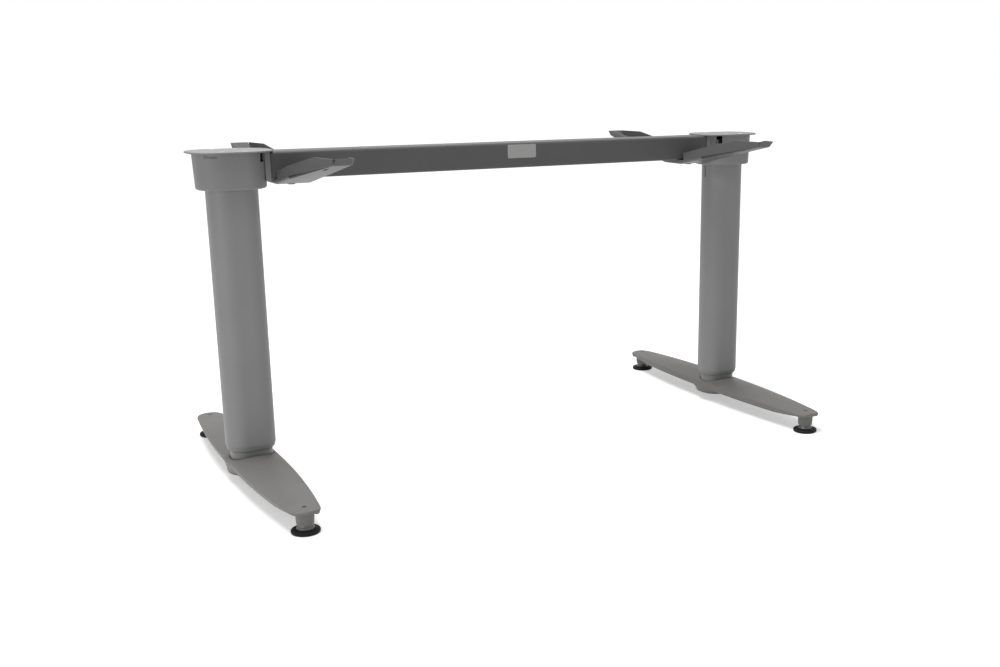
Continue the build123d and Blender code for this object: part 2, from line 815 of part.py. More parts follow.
def make_arm():
    """A table arm: a bent tray that runs under the beam and rises to the table, with a leaf at each end.

    Half a turn about its middle maps the arm onto itself: the leaves are on opposite sides.
    """
    half_width = arm_width / 2
    beam_side = beam_depth / 2 + arm_beam_gap
    above = plate_bottom + arm_reach
    leaf_run = leaf_tip - leaf_from
    leaf_length = (leaf_turn**2 + leaf_run**2) ** 0.5
    leaf_foot = arm_floor + arm_slope * (leaf_from - arm_keel) + arm_bend
    leaf_rim = rim_at_beam + leaf_slope * (leaf_from - leaf_rim_from)
    leaf_level = leaf_length * (leaf_rim_level - leaf_from) / leaf_run
    slit_edge = half_width - arm_sheet - leaf_slit
    slit_end = arm_reach + arm_sheet
    slit_tip = slit_edge - leaf_turn * (slit_end - leaf_from) / leaf_run
    outside = arm_trough(0)
    inside = arm_trough(arm_sheet)
    with BuildPart() as arm:
        add(outside)
        add(inside, mode=Mode.SUBTRACT)
        with BuildSketch(Plane.XY.offset(arm_floor)):
            RectangleRounded(arm_width, 2 * arm_reach, arm_corner_round)
        extrude(amount=plate_bottom - arm_floor, mode=Mode.INTERSECT)
        # The rims are level at the ends, fall towards the beam and are notched for it
        for end in (-1, 1):
            for side in (-1, 1):
                has_leaf = side == end
                rim_from = leaf_rim_from if has_leaf else arm_rim_from
                rim_level = leaf_rim_level if has_leaf else arm_rim_level
                with BuildSketch(Plane.YZ):
                    Polygon(
                        (0, beam_bottom),
                        (end * beam_side, beam_bottom),
                        (end * beam_side, rim_at_beam),
                        (end * rim_from, rim_at_beam),
                        (end * rim_level, plate_bottom),
                        (end * rim_level, above),
                        (0, above),
                        align=None,
                    )
                extrude(amount=side * arm_width, mode=Mode.SUBTRACT)
        # The wall and the floor's edge give way to the leaf
        for end in (-1, 1):
            with BuildSketch(Plane.XY.offset(arm_floor)):
                Polygon(
                    (end * arm_width, end * leaf_from),
                    (end * slit_edge, end * leaf_from),
                    (end * slit_tip, end * slit_end),
                    (end * arm_width, end * slit_end),
                    align=None,
                )
            extrude(amount=plate_bottom - arm_floor, mode=Mode.SUBTRACT)
            root = (end * half_width, end * leaf_from, 0)
            along = (-end * leaf_turn, end * leaf_run, 0)
            outward = (end * leaf_run, end * leaf_turn, 0)
            with BuildSketch(Plane(origin=root, x_dir=along, z_dir=outward)):
                Polygon(
                    (0, leaf_foot),
                    (leaf_length, plate_bottom - leaf_tip_height),
                    (leaf_length, plate_bottom),
                    (leaf_level, plate_bottom),
                    (0, leaf_rim),
                    align=None,
                )
            extrude(amount=-arm_sheet)
        # Slots for the table screws and holes for the beam bolts
        with BuildSketch(Plane.XY.offset(arm_floor)):
            with Locations((0, arm_slot_y), (0, -arm_slot_y)):
                SlotOverall(arm_slot_length, arm_slot_width, rotation=90)
        extrude(amount=plate_bottom - arm_floor, mode=Mode.SUBTRACT)
        with BuildSketch(Plane.XY.offset(arm_floor)):
            with Locations((0, arm_bolt_y), (0, -arm_bolt_y)):
                Circle(arm_bolt_diameter / 2 + screw_hole_gap)
        extrude(amount=2 * arm_sheet, mode=Mode.SUBTRACT)
    return arm.part


def make_arm_bolts():
    """The hexagon bolts that hold an arm under the beam."""
    reach = arm_drop + beam_wall + arm_nut_height + arm_bolt_end
    with BuildPart() as bolts:
        with BuildSketch(Plane.XY.offset(arm_floor)):
            with Locations((0, arm_bolt_y), (0, -arm_bolt_y)):
                RegularPolygon(arm_bolt_head / 2, hexagon, major_radius=False)
        extrude(amount=-arm_bolt_head_height)
        with BuildSketch(Plane.XY.offset(arm_floor)):
            with Locations((0, arm_bolt_y), (0, -arm_bolt_y)):
                Circle(arm_bolt_diameter / 2)
        extrude(amount=reach)
    return bolts.part


def make_arm_nuts():
    """The nuts of those bolts, inside the beam."""
    with BuildPart() as nuts:
        with BuildSketch(Plane.XY.offset(beam_bottom + beam_wall)):
            with Locations((0, arm_bolt_y), (0, -arm_bolt_y)):
                RegularPolygon(arm_bolt_head / 2, hexagon, major_radius=False)
                Circle(arm_bolt_diameter / 2 + running_gap, mode=Mode.SUBTRACT)
        extrude(amount=arm_nut_height)
    return nuts.part


def make_arm_spacers():
    """The sleeves between an arm's floor and the beam."""
    with BuildPart() as spacers:
        with BuildSketch(Plane.XY.offset(arm_floor + arm_sheet)):
            with Locations((0, arm_bolt_y), (0, -arm_bolt_y)):
                Circle(arm_spacer_diameter / 2)
                Circle(arm_bolt_diameter / 2 + screw_hole_gap, mode=Mode.SUBTRACT)
        extrude(amount=arm_drop - arm_sheet)
    return spacers.part


leg_pieces = {
    "foot": make_foot(),
    "inner_tube": make_oval_tube(nest, socket_floor, inner_top),
    "base_plug": make_base_plug(),
    "foot_screws": make_foot_screws(),
    "push_tube": make_push_tube(),
    "spindle_nut": make_spindle_nut(),
    "slide_bush": make_slide_bush(),
    "spindle": make_spindle(),
    "outer_tube": make_outer_tube(),
    "tube_collar": make_collar(),
    "housing": make_housing(),
    "top_plate": make_top_plate(),
    "lid_screws": make_lid_screws(),
    "gear_case": make_gear_case(),
    "gear_screws": make_gear_screws(),
    "spindle_bearing": make_bearing(),
    "motor": make_motor(),
    "beam_end_plate": make_beam_end_plate(),
    "beam_bolts": make_beam_bolts(),
}
for name, piece in leg_pieces.items():
    export_piece(piece, f"left_{name}", Location((-leg_x, 0, 0)))
    export_piece(piece, f"right_{name}", Location((leg_x, 0, 0), (0, 0, 180)))

arm_pieces = {
    "arm": make_arm(),
    "arm_bolts": make_arm_bolts(),
    "arm_nuts": make_arm_nuts(),
    "arm_spacers": make_arm_spacers(),
}
for name, piece in arm_pieces.items():
    export_piece(piece, f"left_{name}", Location((-arm_x, 0, 0)))
    export_piece(piece, f"right_{name}", Location((arm_x, 0, 0)))

glide = make_glide()
glide_pad = make_glide_pad()
for side, x in (("left", -leg_x), ("right", leg_x)):
    for end, y in (("front", -glide_y), ("rear", glide_y)):
        export_piece(glide, f"{side}_{end}_glide", Location((x, y, 0)))
        export_piece(glide_pad, f"{side}_{end}_glide_pad", Location((x, y, 0)))

export_piece(make_beam(), "cross_beam")
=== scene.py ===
"""Looks of the desk frame: powder-coated columns, cast feet and housings, and a dark beam with its arms.

Metres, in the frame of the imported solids. The floor and the lights are the studio around it.
"""
import json
import math

import bmesh
import bpy
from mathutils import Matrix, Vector


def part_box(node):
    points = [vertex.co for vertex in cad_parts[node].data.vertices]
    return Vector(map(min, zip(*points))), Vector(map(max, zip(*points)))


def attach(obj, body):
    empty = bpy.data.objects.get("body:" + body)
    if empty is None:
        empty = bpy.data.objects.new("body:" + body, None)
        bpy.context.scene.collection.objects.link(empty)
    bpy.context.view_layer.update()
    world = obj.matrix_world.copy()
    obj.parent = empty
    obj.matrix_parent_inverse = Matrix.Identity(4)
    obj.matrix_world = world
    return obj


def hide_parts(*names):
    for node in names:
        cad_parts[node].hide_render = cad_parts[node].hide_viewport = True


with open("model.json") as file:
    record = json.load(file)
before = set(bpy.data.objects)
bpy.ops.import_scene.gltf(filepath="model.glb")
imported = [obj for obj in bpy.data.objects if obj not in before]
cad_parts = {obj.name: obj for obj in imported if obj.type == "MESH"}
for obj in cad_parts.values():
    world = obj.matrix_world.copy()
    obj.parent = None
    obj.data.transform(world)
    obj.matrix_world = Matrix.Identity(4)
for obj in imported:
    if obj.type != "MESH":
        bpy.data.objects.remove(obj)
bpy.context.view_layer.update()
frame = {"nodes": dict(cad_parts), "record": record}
MM = 0.001

# Camera of the photograph
IMAGE_WIDTH = 1000
IMAGE_HEIGHT = 667
CAMERA_PLACE = (-1.0972, -2.1758, 0.7627)
CAMERA_YAW = math.radians(31.363)
CAMERA_DIP = math.radians(14.245)
CAMERA_FOCUS_PX = 1180.2
CAMERA_AXIS_PX = (600.8, 367.0)
CAMERA_SENSOR_MM = 36.0

# Studio
FLOOR_HALF = 14.0
FLOOR_COLOUR = (0.90, 0.90, 0.90, 1)
FLOOR_GLOW_NEAR = 0.42
FLOOR_GLOW_FAR = 0.72
FLOOR_GLOW_FROM = 0.7
FLOOR_GLOW_TO = 3.0
SKY_STRENGTH = 0.37
TOP_BOX_SIZE = 1.6
TOP_BOX_PLACE = (-0.6, -0.1, 3.2)
TOP_BOX_WATTS = 93.0
SIDE_BOX_SIZE = 1.1
SIDE_BOX_PLACE = (-2.4, -1.0, 0.6)
SIDE_BOX_WATTS = 8.5
BOX_AIM = (-0.1, 0.0, 0.3)

# Sticker on the beam's front
STICKER_MIDDLE_X = 24.5 * MM
STICKER_ABOVE_MIDDLE = 8 * MM
STICKER_WIDTH = 64 * MM
STICKER_HEIGHT = 27 * MM
STICKER_CORNER = 2.5 * MM
STICKER_THICKNESS = 0.25 * MM
STICKER_GAP = 0.05 * MM
STICKER_CORNER_STEPS = 8
STICKER_EDGE_ROUND = STICKER_THICKNESS / 3
STICKER_EDGE_STEPS = 2

# Forms that are finished here, on copies of the frame's own shapes
WELD = 0.001 * MM
CRISP_EDGE = math.radians(32)

# Feet: thinner tips with a rounded rim
FOOT_UNDERSIDE = 30 * MM
FOOT_THINNING = 6 * MM
FOOT_THINNING_FROM = 245 * MM
FOOT_THINNING_TO = 335 * MM
FOOT_RIM_TURN = math.radians(45)
FOOT_RIM_ROUND = 2.0 * MM
FOOT_RIM_STEPS = 4

# Feet: the fairing round the hub, as half widths and half lengths of level ovals
FAIRING_LOW = 20.5 * MM
FAIRING_HIGH = 41.2 * MM
FAIRING_LOW_WIDTH = 45.5 * MM
FAIRING_HIGH_WIDTH = 47.5 * MM
FAIRING_LOW_LENGTH = 43.5 * MM
FAIRING_HIGH_LENGTH = 80 * MM
FAIRING_LENGTH_SWEEP = 1.8
FAIRING_LOW_FULLNESS = 2.1
FAIRING_HIGH_FULLNESS = 4.0
FAIRING_INSIDE = 42.0 * MM
FAIRING_LEVELS = 12
FAIRING_TURNS = 120
ELLIPSE_FULLNESS = 2

# Arms: lower bolt heads, and leaves that reach lower at their tips
BOLT_HEAD_CUT = 3.5 * MM
LEAF_TIP_HEIGHT = 5 * MM
LEAF_TIP_WITHIN = 0.02 * MM
LEAF_TIP_FROM_END = 15 * MM
LEAF_DROP = 5 * MM

# Threads of the glides' studs
THREAD_CORE = 3.9 * MM
THREAD_CREST = 4.2 * MM
THREAD_PITCH = 1.5 * MM
THREAD_FLANK = 0.6 * MM
THREAD_FROM = 16.2 * MM
THREAD_END_GAP = 1.2 * MM
THREAD_STEPS = 20


# Shared effects

def new_group(name, inputs, outputs):
    """An empty shader node group with named sockets, and the nodes that stand for them."""
    group = bpy.data.node_groups.new(name, "ShaderNodeTree")
    for socket_name, kind, value in inputs:
        socket = group.interface.new_socket(socket_name, in_out="INPUT", socket_type=kind)
        socket.default_value = value
    for socket_name, kind in outputs:
        group.interface.new_socket(socket_name, in_out="OUTPUT", socket_type=kind)
    entry = group.nodes.new("NodeGroupInput")
    leave = group.nodes.new("NodeGroupOutput")
    return group, entry.outputs, leave.inputs


def calculate(tree, operation, first, second):
    """A maths node between two values, each a socket or a number."""
    node = tree.nodes.new("ShaderNodeMath")
    node.operation = operation
    for socket, value in zip(node.inputs, (first, second)):
        if isinstance(value, (int, float)):
            socket.default_value = value
        else:
            tree.links.new(value, socket)
    return node.outputs[0]


def noise(tree, place, scale, detail):
    """A noise value over the surface. The scale is a socket or a number."""
    node = tree.nodes.new("ShaderNodeTexNoise")
    node.inputs["Detail"].default_value = detail
    tree.links.new(place, node.inputs["Vector"])
    if isinstance(scale, (int, float)):
        node.inputs["Scale"].default_value = scale
    else:
        tree.links.new(scale, node.inputs["Scale"])
    return node.outputs["Fac"]


def remap(tree, value, low, high, to_low, to_high):
    """A value stretched from one range to another, and held inside it."""
    node = tree.nodes.new("ShaderNodeMapRange")
    node.inputs["From Min"].default_value = low
    node.inputs["From Max"].default_value = high
    node.inputs["To Min"].default_value = to_low
    node.inputs["To Max"].default_value = to_high
    tree.links.new(value, node.inputs["Value"])
    return node.outputs["Result"]


def scale_colour(tree, colour, factor):
    """A colour made lighter or darker by a factor."""
    node = tree.nodes.new("ShaderNodeVectorMath")
    node.operation = "SCALE"
    tree.links.new(colour, node.inputs[0])
    tree.links.new(factor, node.inputs["Scale"])
    return node.outputs[0]


def make_coat_grain():
    """Powder coat: a fine orange-peel height, small flecks, and a slow drift of tone."""
    group, entry, leave = new_group(
        "coat_grain",
        [
            ("Colour", "NodeSocketColor", (0.5, 0.5, 0.5, 1)),
            ("Peel Scale", "NodeSocketFloat", 900.0),
            ("Drift Scale", "NodeSocketFloat", 9.0),
            ("Drift", "NodeSocketFloat", 0.06),
            ("Fleck", "NodeSocketFloat", 0.10),
        ],
        [("Colour", "NodeSocketColor"), ("Height", "NodeSocketFloat"), ("Gloss Drift", "NodeSocketFloat")],
    )
    place = group.nodes.new("ShaderNodeTexCoord").outputs["Object"]
    peel = noise(group, place, entry["Peel Scale"], 3.0)
    fleck_scale = calculate(group, "MULTIPLY", entry["Peel Scale"], 2.6)
    flecks = remap(group, noise(group, place, fleck_scale, 1.0), 0.35, 0.65, -1.0, 1.0)
    drift = remap(group, noise(group, place, entry["Drift Scale"], 3.0), 0.3, 0.7, -1.0, 1.0)
    tone = calculate(
        group,
        "ADD",
        calculate(group, "MULTIPLY", flecks, entry["Fleck"]),
        calculate(group, "MULTIPLY", drift, entry["Drift"]),
    )
    toned = scale_colour(group, entry["Colour"], calculate(group, "ADD", tone, 1.0))
    group.links.new(toned, leave["Colour"])
    group.links.new(peel, leave["Height"])
    group.links.new(drift, leave["Gloss Drift"])
    return group


def make_edge_round_and_highlight():
    """Edges: a softened normal, and a mask that is strongest where the surface turns, used for a painted
    highlight along edges.
    """
    group, entry, leave = new_group(
        "edge_round_and_highlight",
        [("Radius", "NodeSocketFloat", 0.6 * MM)],
        [("Normal", "NodeSocketVector"), ("Edge", "NodeSocketFloat")],
    )
    bevel = group.nodes.new("ShaderNodeBevel")
    bevel.samples = 6
    group.links.new(entry["Radius"], bevel.inputs["Radius"])
    surface = group.nodes.new("ShaderNodeNewGeometry")
    turn = group.nodes.new("ShaderNodeVectorMath")
    turn.operation = "DOT_PRODUCT"
    group.links.new(bevel.outputs["Normal"], turn.inputs[0])
    group.links.new(surface.outputs["Normal"], turn.inputs[1])
    group.links.new(bevel.outputs["Normal"], leave["Normal"])
    group.links.new(remap(group, turn.outputs["Value"], 0.995, 0.80, 0.0, 1.0), leave["Edge"])
    return group


def make_cast_skin():
    """Cast metal under its coat: soft dimples at two sizes."""
    group, entry, leave = new_group(
        "cast_skin",
        [("Dimple Scale", "NodeSocketFloat", 260.0)],
        [("Height", "NodeSocketFloat")],
    )
    place = group.nodes.new("ShaderNodeTexCoord").outputs["Object"]
    fine = noise(group, place, entry["Dimple Scale"], 4.0)
    wide = noise(group, place, calculate(group, "MULTIPLY", entry["Dimple Scale"], 0.12), 2.0)
    group.links.new(calculate(group, "ADD", fine, calculate(group, "MULTIPLY", wide, 1.6)), leave["Height"])
    return group


def make_plating_marks():
    """Plated or ground metal: marks drawn out along one way, as a value for colour and roughness."""
    group, entry, leave = new_group(
        "plating_marks",
        [("Mark Scale", "NodeSocketFloat", 120.0), ("Draw", "NodeSocketFloat", 0.06)],
        [("Marks", "NodeSocketFloat")],
    )
    place = group.nodes.new("ShaderNodeTexCoord").outputs["Object"]
    split = group.nodes.new("ShaderNodeSeparateXYZ")
    group.links.new(place, split.inputs[0])
    join = group.nodes.new("ShaderNodeCombineXYZ")
    group.links.new(split.outputs["X"], join.inputs["X"])
    group.links.new(split.outputs["Y"], join.inputs["Y"])
    group.links.new(calculate(group, "MULTIPLY", split.outputs["Z"], entry["Draw"]), join.inputs["Z"])
    group.links.new(noise(group, join.outputs[0], entry["Mark Scale"], 5.0), leave["Marks"])
    return group


def make_floor_dust():
    """Dust that settles on faces that look up: a broken mask."""
    group, entry, leave = new_group(
        "floor_dust",
        [("Amount", "NodeSocketFloat", 0.1), ("Patch Scale", "NodeSocketFloat", 40.0)],
        [("Dust", "NodeSocketFloat")],
    )
    place = group.nodes.new("ShaderNodeTexCoord").outputs["Object"]
    facing = group.nodes.new("ShaderNodeSeparateXYZ")
    group.links.new(group.nodes.new("ShaderNodeNewGeometry").outputs["Normal"], facing.inputs[0])
    upward = remap(group, facing.outputs["Z"], 0.5, 1.0, 0.0, 1.0)
    patches = remap(group, noise(group, place, entry["Patch Scale"], 5.0), 0.35, 0.75, 0.0, 1.0)
    settled = calculate(group, "MULTIPLY", upward, patches)
    group.links.new(calculate(group, "MULTIPLY", settled, entry["Amount"]), leave["Dust"])
    return group


COAT_GRAIN = make_coat_grain()
EDGE_ROUND_AND_HIGHLIGHT = make_edge_round_and_highlight()
CAST_SKIN = make_cast_skin()
PLATING_MARKS = make_plating_marks()
FLOOR_DUST = make_floor_dust()


# Finishes

def new_finish(name):
    """A material with its shader, ready for the nodes of one finish."""
    finish = bpy.data.materials.new(name)
    finish.use_nodes = True
    return finish, finish.node_tree, finish.node_tree.nodes["Principled BSDF"]


def place_group(tree, group, **values):
    """A shared effect placed in a material with its own values.

    Underscores stand for spaces in socket names.
    """
    node = tree.nodes.new("ShaderNodeGroup")
    node.node_tree = group
    for socket_name, value in values.items():
        node.inputs[socket_name.replace("_", " ")].default_value = value
    return node.outputs


def blend_colour(tree, first, second, mask):
    """Two colours mixed by a mask. The second is a plain colour."""
    node = tree.nodes.new("ShaderNodeMix")
    node.data_type = "RGBA"
    tree.links.new(mask, node.inputs["Factor"])
    tree.links.new(first, node.inputs["A"])
    node.inputs["B"].default_value = second
    return node.outputs["Result"]


def raise_surface(tree, shader, height, normal, depth):
    """A bump over the softened normal."""
    bump = tree.nodes.new("ShaderNodeBump")
    bump.inputs["Distance"].default_value = depth
    tree.links.new(height, bump.inputs["Height"])
    tree.links.new(normal, bump.inputs["Normal"])
    tree.links.new(bump.outputs["Normal"], shader.inputs["Normal"])


def wander_gloss(tree, shader, drift, roughness, spread):
    """Roughness that wanders with a drift value to both sides of its middle."""
    wandering = remap(tree, drift, -1, 1, roughness - spread, roughness + spread)
    tree.links.new(wandering, shader.inputs["Roughness"])


def powder_coat(name, colour, edge_highlight_colour, roughness, gloss=0.5, fleck=0.10):
    """Powder-coated sheet or tube: flecked grain, and soft edges with a painted highlight."""
    finish, tree, shader = new_finish(name)
    shader.inputs["Specular IOR Level"].default_value = gloss
    coat = place_group(tree, COAT_GRAIN, Colour=colour, Peel_Scale=900.0, Drift=0.05, Fleck=fleck)
    edges = place_group(tree, EDGE_ROUND_AND_HIGHLIGHT, Radius=0.8 * MM)
    # Painted highlight: the coat is mixed towards a lighter colour along its edges.
    edge_highlight = calculate(tree, "MULTIPLY", edges["Edge"], 0.5)
    tree.links.new(blend_colour(tree, coat["Colour"], edge_highlight_colour, edge_highlight), shader.inputs["Base Color"])
    wander_gloss(tree, shader, coat["Gloss Drift"], roughness, 0.05)
    raise_surface(tree, shader, coat["Height"], edges["Normal"], 0.05 * MM)
    return finish


def cast_coat(name, colour, edge_highlight_colour, dust_colour):
    """A coated casting: dimples under the coat's grain, a painted highlight along its edges, and dust where
    it looks up.
    """
    finish, tree, shader = new_finish(name)
    shader.inputs["Specular IOR Level"].default_value = 0.25
    coat = place_group(tree, COAT_GRAIN, Colour=colour, Peel_Scale=1100.0, Drift=0.05, Fleck=0.09)
    skin = place_group(tree, CAST_SKIN, Dimple_Scale=240.0)
    edges = place_group(tree, EDGE_ROUND_AND_HIGHLIGHT, Radius=1.2 * MM)
    dust = place_group(tree, FLOOR_DUST, Amount=0.12, Patch_Scale=35.0)
    # Painted highlight: the coat is mixed towards a lighter colour along its edges.
    edge_highlight = calculate(tree, "MULTIPLY", edges["Edge"], 0.4)
    edged = blend_colour(tree, coat["Colour"], edge_highlight_colour, edge_highlight)
    tree.links.new(blend_colour(tree, edged, dust_colour, dust["Dust"]), shader.inputs["Base Color"])
    wander_gloss(tree, shader, coat["Gloss Drift"], 0.52, 0.06)
    height = calculate(tree, "ADD", skin["Height"], calculate(tree, "MULTIPLY", coat["Height"], 0.5))
    raise_surface(tree, shader, height, edges["Normal"], 0.06 * MM)
    return finish


def plated_metal(name, colour, roughness, mark_scale, draw):
    """Plated or ground metal: drawn marks in its colour and its gloss."""
    finish, tree, shader = new_finish(name)
    shader.inputs["Metallic"].default_value = 1.0
    marks = place_group(tree, PLATING_MARKS, Mark_Scale=mark_scale, Draw=draw)["Marks"]
    coat = place_group(tree, COAT_GRAIN, Colour=colour, Peel_Scale=500.0, Drift=0.10, Fleck=0.05)
    edges = place_group(tree, EDGE_ROUND_AND_HIGHLIGHT, Radius=0.4 * MM)
    tone = remap(tree, marks, 0.3, 0.7, 0.85, 1.1)
    tree.links.new(scale_colour(tree, coat["Colour"], tone), shader.inputs["Base Color"])
    gloss = remap(tree, marks, 0.3, 0.7, roughness - 0.08, roughness + 0.10)
    tree.links.new(gloss, shader.inputs["Roughness"])
    raise_surface(tree, shader, marks, edges["Normal"], 0.02 * MM)
    return finish


def moulded_plastic(name, colour, roughness):
    """Moulded plastic: a fine spark-eroded grain and a slow drift of tone."""
    finish, tree, shader = new_finish(name)
    coat = place_group(tree, COAT_GRAIN, Colour=colour, Peel_Scale=1600.0, Drift=0.04, Fleck=0.05)
    edges = place_group(tree, EDGE_ROUND_AND_HIGHLIGHT, Radius=0.5 * MM)
    tree.links.new(coat["Colour"], shader.inputs["Base Color"])
    wander_gloss(tree, shader, coat["Gloss Drift"], roughness, 0.05)
    raise_surface(tree, shader, coat["Height"], edges["Normal"], 0.03 * MM)
    return finish


def pad_rubber():
    """Black rubber pads: matt, with a little grey dust where they look up."""
    finish, tree, shader = new_finish("pad_rubber")
    shader.inputs["Specular IOR Level"].default_value = 0.2
    black = (0.008, 0.008, 0.008, 1)
    dust_colour = (0.12, 0.12, 0.115, 1)
    coat = place_group(tree, COAT_GRAIN, Colour=black, Peel_Scale=700.0, Drift=0.25, Fleck=0.2)
    edges = place_group(tree, EDGE_ROUND_AND_HIGHLIGHT, Radius=0.8 * MM)
    dust = place_group(tree, FLOOR_DUST, Amount=0.05, Patch_Scale=90.0)
    dusty = blend_colour(tree, coat["Colour"], dust_colour, dust["Dust"])
    tree.links.new(dusty, shader.inputs["Base Color"])
    wander_gloss(tree, shader, coat["Gloss Drift"], 0.70, 0.08)
    raise_surface(tree, shader, coat["Height"], edges["Normal"], 0.06 * MM)
    return finish


def sticker_film():
    """The sticker's matt film: faint fibres and a slow drift of tone."""
    finish, tree, shader = new_finish("sticker_film")
    pale = (0.32, 0.32, 0.316, 1)
    coat = place_group(tree, COAT_GRAIN, Colour=pale, Peel_Scale=1800.0, Drift=0.05, Fleck=0.04)
    edges = place_group(tree, EDGE_ROUND_AND_HIGHLIGHT, Radius=0.15 * MM)
    tree.links.new(coat["Colour"], shader.inputs["Base Color"])
    wander_gloss(tree, shader, coat["Gloss Drift"], 0.47, 0.05)
    raise_surface(tree, shader, coat["Height"], edges["Normal"], 0.015 * MM)
    return finish


FINISHES = {
    # The edge colours, lighter than each coat, are a painted highlight along edges.
    "cast_foot": cast_coat(
        "cast_foot",
        colour=(0.161, 0.157, 0.151, 1),
        edge_highlight_colour=(0.22, 0.215, 0.207, 1),
        dust_colour=(0.24, 0.235, 0.226, 1),
    ),
    "cast_housing": cast_coat(
        "cast_housing",
        colour=(0.222, 0.222, 0.221, 1),
        edge_highlight_colour=(0.28, 0.28, 0.28, 1),
        dust_colour=(0.26, 0.26, 0.255, 1),
    ),
    "column_paint": powder_coat(
        "column_paint",
        colour=(0.207, 0.207, 0.206, 1),
        edge_highlight_colour=(0.27, 0.27, 0.27, 1),
        roughness=0.48,
    ),
    "inner_tube_paint": powder_coat(
        "inner_tube_paint",
        colour=(0.20, 0.20, 0.199, 1),
        edge_highlight_colour=(0.26, 0.26, 0.26, 1),
        roughness=0.42,
    ),
    "collar_plastic": moulded_plastic("collar_plastic", colour=(0.20, 0.20, 0.199, 1), roughness=0.55),
    "slide_plastic": moulded_plastic("slide_plastic", colour=(0.70, 0.70, 0.67, 1), roughness=0.45),
    "beam_paint": powder_coat(
        "beam_paint",
        colour=(0.088, 0.088, 0.088, 1),
        edge_highlight_colour=(0.13, 0.13, 0.13, 1),
        roughness=0.46,
        gloss=0.25,
        fleck=0.12,
    ),
    "pad_rubber": pad_rubber(),
    "glide_zinc": plated_metal(
        "glide_zinc",
        colour=(0.12, 0.12, 0.123, 1),
        roughness=0.42,
        mark_scale=90.0,
        draw=1.0,
    ),
    "nut_brass": plated_metal(
        "nut_brass",
        colour=(0.60, 0.45, 0.20, 1),
        roughness=0.32,
        mark_scale=160.0,
        draw=0.1,
    ),
    "drive_casting": plated_metal(
        "drive_casting",
        colour=(0.50, 0.50, 0.51, 1),
        roughness=0.55,
        mark_scale=200.0,
        draw=1.0,
    ),
    "motor_can": plated_metal(
        "motor_can",
        colour=(0.12, 0.12, 0.125, 1),
        roughness=0.40,
        mark_scale=140.0,
        draw=0.1,
    ),
    "drive_steel": plated_metal(
        "drive_steel",
        colour=(0.52, 0.52, 0.54, 1),
        roughness=0.28,
        mark_scale=180.0,
        draw=0.05,
    ),
    "zinc_steel": plated_metal(
        "zinc_steel",
        colour=(0.58, 0.58, 0.60, 1),
        roughness=0.36,
        mark_scale=110.0,
        draw=1.0,
    ),
}


def dress_nodes():
    """Give each solid of the frame the finish of its slot."""
    for subpart in frame["record"]["subparts"]:
        piece = frame["nodes"][subpart["node"]]
        finish = FINISHES[subpart["material_slot"]]
        if not piece.material_slots:
            piece.data.materials.append(finish)
        for slot in piece.material_slots:
            slot.material = finish


# Forms that are finished here

def copy_shape(node):
    """A welded copy of a node's own shape."""
    source = frame["nodes"][node].data
    mesh = bpy.data.meshes.new(node)
    corners = [tuple(vertex.co) for vertex in source.vertices]
    faces = [tuple(face.vertices) for face in source.polygons]
    mesh.from_pydata(corners, [], faces)
    build = bmesh.new()
    build.from_mesh(mesh)
    bpy.data.meshes.remove(mesh)
    bmesh.ops.remove_doubles(build, verts=build.verts, dist=WELD)
    return build


def place_shape(build, name, body, slot):
    """A shape made into a piece that moves with a body and takes the finish of a slot."""
    mesh = bpy.data.meshes.new(name)
    build.to_mesh(mesh)
    build.free()
    mesh.shade_smooth()
    mesh.set_sharp_from_angle(angle=CRISP_EDGE)
    piece = bpy.data.objects.new(name, mesh)
    bpy.context.collection.objects.link(piece)
    piece.data.materials.append(FINISHES[slot])
    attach(piece, body)
    return piece


def between(low, high, share):
    """The value at a share of the way from one value to another."""
    return low + (high - low) * share


def ease(share):
    """A share held from 0 to 1 that starts and ends softly."""
    held = min(max(share, 0), 1)
    return held * held * (3 - 2 * held)


def make_thin_foot(side):
    """A foot whose underside rises towards its tips and turns into its edge with a round."""
    node = f"{side}_foot"
    build = copy_shape(node)
    under = {vertex for vertex in build.verts if abs(vertex.co.z - FOOT_UNDERSIDE) < WELD}
    for vertex in under:
        share = (abs(vertex.co.y) - FOOT_THINNING_FROM) / (FOOT_THINNING_TO - FOOT_THINNING_FROM)
        vertex.co.z += FOOT_THINNING * ease(share)
    build.normal_update()
    rim = []
    for edge in build.edges:
        if edge.is_convex and under.issuperset(edge.verts) and edge.calc_face_angle(0) > FOOT_RIM_TURN:
            rim.append(edge)
    bmesh.ops.bevel(
        build,
        geom=rim,
        offset=FOOT_RIM_ROUND,
        segments=FOOT_RIM_STEPS,
        profile=0.5,
        affect="EDGES",
        clamp_overlap=True,
    )
    low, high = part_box(node)
    add_hub_fairing(build, between(low[0], high[0], 0.5))
    foot = place_shape(build, f"{side}_thin_foot", f"{side}_base", "cast_foot")
    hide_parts(f"{side}_foot")


def add_hub_fairing(build, middle_x):
    """A closed sweep from the hub's wall out to the leaf's edge, longest towards the tips."""
    rings = []
    for level in range(FAIRING_LEVELS + 1):
        share = level / FAIRING_LEVELS
        half_width = between(FAIRING_LOW_WIDTH, FAIRING_HIGH_WIDTH, share)
        half_length = between(FAIRING_LOW_LENGTH, FAIRING_HIGH_LENGTH, share**FAIRING_LENGTH_SWEEP)
        fullness = between(FAIRING_LOW_FULLNESS, FAIRING_HIGH_FULLNESS, share)
        height = between(FAIRING_LOW, FAIRING_HIGH, share)
        rings.append(oval_ring(build, middle_x, half_width, half_length, fullness, height))
    for height in (FAIRING_HIGH, FAIRING_LOW):
        rings.append(oval_ring(build, middle_x, FAIRING_INSIDE, FAIRING_INSIDE, ELLIPSE_FULLNESS, height))
    for lower, upper in zip(rings, rings[1:] + rings[:1]):
        for turn in range(FAIRING_TURNS):
            after = (turn + 1) % FAIRING_TURNS
            build.faces.new((lower[turn], lower[after], upper[after], upper[turn]))


